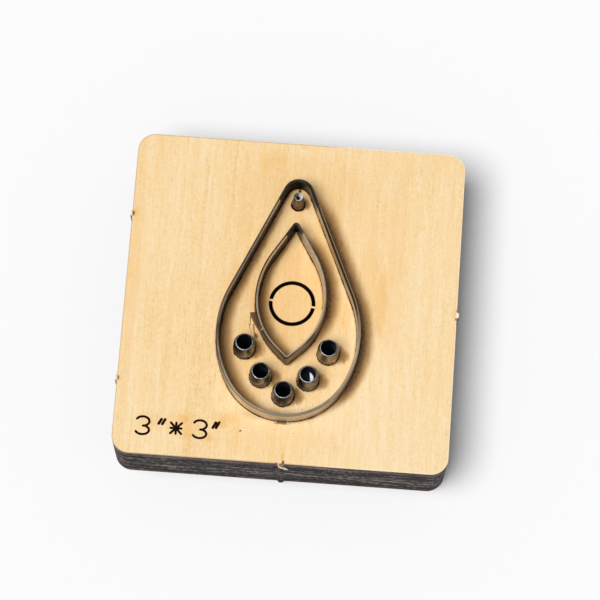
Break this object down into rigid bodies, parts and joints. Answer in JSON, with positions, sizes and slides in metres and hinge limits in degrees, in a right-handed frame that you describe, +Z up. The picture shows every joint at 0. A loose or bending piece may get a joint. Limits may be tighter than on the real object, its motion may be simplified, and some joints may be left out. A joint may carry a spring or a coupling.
{
  "type": "steel rule die",
  "caption": "Square plywood cutting die with a teardrop rule around a pointed-oval rule, tube punches between them and a hole punch at the narrow end.",
  "frame": {"origin": "middle of the board's underside", "axes": "+Z up out of the cutting edges, +Y along the teardrop to its narrow end, +X to the right across it"},
  "size_m": [0.0772, 0.0772, 0.0238],
  "materials": {
    "plywood": "bare birch face veneer with charred laser-cut edges",
    "rule_steel": "dark tempered strip with ground cutting edge",
    "punch_steel": "turned steel with bright honed rim"
  },
  "bodies": {
    "root": {"die_board": "plywood", "outer_rule": "rule_steel", "inner_rule": "rule_steel", "tube_punch_1": "punch_steel", "tube_punch_2": "punch_steel", "tube_punch_3": "punch_steel", "tube_punch_4": "punch_steel", "tube_punch_5": "punch_steel", "hole_punch": "punch_steel"}
  },
  "joints": []
}
